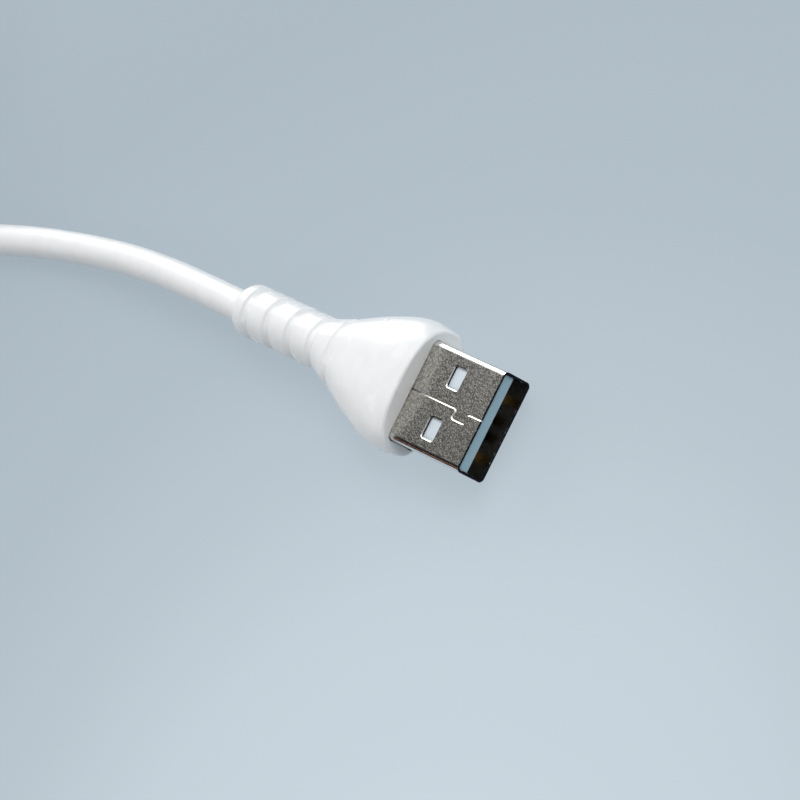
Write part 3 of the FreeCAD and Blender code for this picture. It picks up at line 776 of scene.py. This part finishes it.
def shellCutters():
    # the hollow, two cutters that each open a window in both faces, and the seam
    wide, high, wall, corner = shell["halfWidth"], shell["halfHeight"], shell["wall"], shell["corner"]
    hollow = roundedOutline(wide - wall, high - wall, corner - wall)
    cutters = [prism("shellHollow", hollow, shell["back"] - 1.5, shell["front"] + 1.5, "X")]
    flare, drop = shell["windowEdge"]
    above = [(high - drop, 0.0), (high, flare), (high + drop, 2 * flare)]
    levels = [(-height, grow) for height, grow in above[::-1]] + above
    for side in (-1, 1):
        outline = roundedOutline(*shell["windowHalf"], shell["windowCorner"], 6)
        outline += (shell["windowX"], side * shell["windowY"])
        cutters.append(flaredCut("windowCut", outline, levels))
    walk = roundedLine(seamLine(shell["back"] - 1, shell["front"] + 1), 5)
    left, right = seamSides(walk, 0.0)
    cutters.append(prism("seamCut", np.vstack([right, left[::-1]]), *shell["seamHeights"], "Z"))
    return cutters


def shellFinish(mesh):
    # painted shade: near-black on the cut walls and the mouth's front, darker plate in the hollow; the
    # mouth's bevels also get painted glints; the bends are smooth and the broad faces blasted
    spot, normal = np.empty(len(mesh.polygons) * 3), np.empty(len(mesh.polygons) * 3)
    mesh.polygons.foreach_get("center", spot)
    mesh.polygons.foreach_get("normal", normal)
    x, y, z = np.abs(spot.reshape(-1, 3)).T
    forward, level = normal[0::3], np.abs(normal[2::3])
    wide, high, wall = shell["halfWidth"], shell["halfHeight"], shell["wall"]
    mouth = (x > shell["front"] - shell["mouthEdge"]) & (forward > 0.2)
    paintedShadeWall = (level < 0.1) & (y < wide - wall)
    inside = (y < wide - wall * 0.5) & (z < high - wall * 0.9)
    return np.select(
        [mouth & (forward > 0.95), mouth, paintedShadeWall, inside, level < 0.997],
        [1, 4, 1, 2, 3],
        0,
    ).astype(np.int32)


def shellPiece():
    # a solid blank less its cutters, with every sharp edge slightly broken
    blank = roundedOutline(shell["halfWidth"], shell["halfHeight"], shell["corner"], 24)
    body = prism("shellBlank", blank, shell["back"], shell["front"], "X")
    cutters = shellCutters()
    for cutter in cutters:
        cut = body.modifiers.new("cut", "BOOLEAN")
        cut.operation = "DIFFERENCE"
        cut.solver = "EXACT"
        cut.object = cutter
    bevel = body.modifiers.new("edges", "BEVEL")
    bevel.width = shell["bevel"]
    bevel.segments = 2
    bevel.limit_method = "ANGLE"
    bevel.angle_limit = math.radians(55)
    bpy.context.view_layer.update()
    mesh = bpy.data.meshes.new_from_object(body.evaluated_get(bpy.context.evaluated_depsgraph_get()))
    for item in [body] + cutters:
        bpy.data.objects.remove(item)
    mesh.name = "hostShell"
    mesh.materials.clear()
    for material in shellFinishes:
        mesh.materials.append(material)
    mesh.polygons.foreach_set("material_index", shellFinish(mesh))
    mesh.polygons.foreach_set("use_smooth", np.zeros(len(mesh.polygons), dtype=bool))
    mesh.transform(Matrix.Translation(Vector(hostOrigin * millimetre)) @ Matrix.Scale(millimetre, 4))
    return keepPiece("hostShell", mesh, ["host_shell"])


hostShell = shellPiece()
print("shell", len(hostShell.data.polygons))


# Seam edge: the sheet's edge, lit by the lamps and painted near white as a painted highlight, seen as a fine
# bright line in the seam

seamStrip = {
    "start": 1.5,
    "proud": 0.004,
    "roll": 0.1,
    "depth": 0.25,
    "bite": 0.01,  # how far it reaches into both sheets
}


def seamPiece():
    # a four-sided strip along the seam, its top sloping across the gap where one sheet is rolled down
    walk = roundedLine(seamLine(seamStrip["start"], shell["front"] - shell["mouthEdge"]), 7)
    left, right = seamSides(walk, seamStrip["bite"])
    top, low = shell["halfHeight"] + seamStrip["proud"], shell["halfHeight"] - seamStrip["depth"]
    rings = np.stack([
        np.column_stack([side, np.full(len(walk), height)])
        for side, height in ((left, top - seamStrip["roll"]), (right, top), (right, low), (left, low))
    ], axis=1)
    points, faces = closedTube(rings + hostOrigin, flip=True)
    return newPiece("seamEdge", points, faces, paintedHighlightSeam, None, smooth=False)


seamEdge = seamPiece()
print("seam edge", len(seamEdge.data.polygons))


# CAD pieces that keep their own shape

keptMaterials = {
    "host_tongue": tongueWithPaintedShade,
    "host_inner_mould": milkyMould,
    "device_tab": tabSteel,
    "device_contact_block": blockWhite,
    "device_contacts_upper": contactGold,
    "device_contacts_lower": contactGold,
    "device_board": boardGreen,
    "device_can": tinPlate,
    "device_potting": milkyMould,
}
for lane in ("power", "data_minus", "data_plus", "ground"):
    keptMaterials["host_contact_" + lane] = contactGold
for colour, material in wirePlastics.items():
    keptMaterials["host_wire_" + colour] = material
    keptMaterials["device_wire_" + colour] = material
for name, material in keptMaterials.items():
    nodes[name].data.materials.clear()
    nodes[name].data.materials.append(material)
print("kept pieces", len(keptMaterials))


# Stage, light and camera

stage = {
    "reach": 4.0,  # metres, as are the painted pool's place and reach
    "drop": -0.00004,
    "paintedPoolCentre": (0.045, -0.06, 0.0),
    "paintedPoolReach": 0.125,
    # the card's tones from the middle of the painted pool of light outwards
    "shades": [
        (0.0, "d4e1e9"),
        (0.24, "ccd9e2"),
        (0.4, "c8d5de"),
        (0.54, "becbd4"),
        (0.72, "b4c2cc"),
        (1.0, "aebcc6"),
    ],
    "lit": 0.16,
    "paintedGlow": 0.77,  # the card glows: most of its tone is painted light, so that shadows stay faint
    "roomStrength": 0.28,
    "roomShades": [(0.0, "3c4046"), (1.0, "e2eaf2")],
}


def floorCard():
    # pale blue grey card with a painted pool of light on the viewer's side of the plug
    values = {"Roughness": 0.9, "Emission Strength": 1.0}
    material, shader, place = newMaterial("pale blue grey card", values)
    away = addNode(material, "ShaderNodeVectorMath", {"operation": "DISTANCE"}, {
        0: place,
        1: stage["paintedPoolCentre"],
    })
    share = addNode(material, "ShaderNodeMapRange", None, {
        "Value": away.outputs["Value"],
        "From Max": stage["paintedPoolReach"],
    })
    card = addNode(material, "ShaderNodeValToRGB", None, {"Fac": share.outputs["Result"]}, stage["shades"])
    # part of the card's tone is lit by the lamps, the rest is its painted glow
    for socket, part in (("Base Color", stage["lit"]), ("Emission Color", stage["paintedGlow"])):
        scaled = addNode(material, "ShaderNodeVectorMath", {"operation": "SCALE"}, {
            0: card.outputs["Color"],
            "Scale": part,
        })
        feed(material, shader, {socket: scaled.outputs["Vector"]})
    return material


floorMesh = bpy.data.meshes.new("floor")
reach = stage["reach"]
floorCorners = [(x * reach, y * reach, stage["drop"]) for x, y in ((-1, -1), (1, -1), (1, 1), (-1, 1))]
floorMesh.from_pydata(floorCorners, [], [(0, 1, 2, 3)])
floorMesh.materials.append(floorCard())
floor = bpy.data.objects.new("floor", floorMesh)
scene.collection.objects.link(floor)

# the room is darker on the side away from the lamps
world = bpy.data.worlds.new("studio")
world.use_nodes = True
background = world.node_tree.nodes["Background"]
background.inputs["Strength"].default_value = stage["roomStrength"]
sky = addNode(world, "ShaderNodeTexCoord").outputs["Generated"]
across = addNode(world, "ShaderNodeSeparateXYZ", None, {"Vector": sky})
share = addNode(world, "ShaderNodeMapRange", None, {
    "Value": across.outputs["Y"],
    "From Min": -0.3,
    "From Max": 0.7,
})
room = addNode(world, "ShaderNodeValToRGB", None, {"Fac": share.outputs["Result"]}, stage["roomShades"])
world.node_tree.links.new(room.outputs["Color"], background.inputs["Color"])
scene.world = world

# spots and sizes in metres, powers in watts; every lamp faces the origin
lamps = {
    "keyLight": {"spot": (0.0, 0.57, 0.82), "power": 3.4},
    "topLight": {"spot": (0.0, 0.0, 1.0), "power": 0.3},
    "frontLight": {"spot": (0.5, 0.3, 0.82), "power": 2.7},
    "fillLight": {"spot": (0.55, 0.55, 0.62), "power": 2.0},
    "nearSide": {"spot": (-0.2, -0.72, 0.66), "power": 3.3, "unseenBy": "glossy"},
    "tailSide": {"spot": (-0.9, 0.0, 0.42), "power": 3.0, "unseenBy": "glossy"},
    # panels that only the metal and the gloss show
    "glint": {"spot": (-0.62, 0.18, 0.78), "power": 0.16, "size": (0.3, 0.3), "unseenBy": "diffuse"},
    "copper": {
        "spot": (-0.7, -0.6, 0.36),
        "power": 0.03,
        "size": (0.1, 0.05),
        "colour": (1.0, 0.4, 0.22),
        "unseenBy": "diffuse",
    },
    "backPanel": {"spot": (-0.62, 0.45, 0.22), "power": 5.0, "size": (0.5, 0.62), "unseenBy": "diffuse"},
}


def softBox(name, spot, power, size=(0.5, 0.5), colour=(1.0, 1.0, 1.0), unseenBy=None):
    light = bpy.data.lights.new(name, "AREA")
    light.shape = "RECTANGLE"
    light.size, light.size_y = size
    light.energy = power
    light.color = colour
    lamp = bpy.data.objects.new(name, light)
    lamp.location = spot
    lamp.rotation_euler = (-Vector(spot)).to_track_quat("-Z", "Y").to_euler()
    scene.collection.objects.link(lamp)
    if unseenBy:
        setattr(lamp, "visible_" + unseenBy, False)


for name, lamp in lamps.items():
    softBox(name, **lamp)
print("lamps", len(lamps))

view = {
    "eye": (437.35, -14.56, 435.25),
    "right": (0.6397, 0.4465, -0.6256),
    "down": (0.3026, -0.8945, -0.3291),
    "lens": 250.7,
    "sensor": 36.0,
}
right = Vector(view["right"]).normalized()
down = Vector(view["down"])
down = (down - right * down.dot(right)).normalized()
turned = Matrix((right, -down, right.cross(-down))).transposed().to_4x4()
cameraData = bpy.data.cameras.new("camera")
cameraData.lens = view["lens"]
cameraData.sensor_width = view["sensor"]
cameraData.clip_start, cameraData.clip_end = 0.01, 20.0
camera = bpy.data.objects.new("camera", cameraData)
camera.matrix_world = Matrix.Translation(Vector(view["eye"]) * millimetre) @ turned
scene.collection.objects.link(camera)
scene.camera = camera
scene.view_settings.view_transform = "Standard"

bpy.context.view_layer.update()
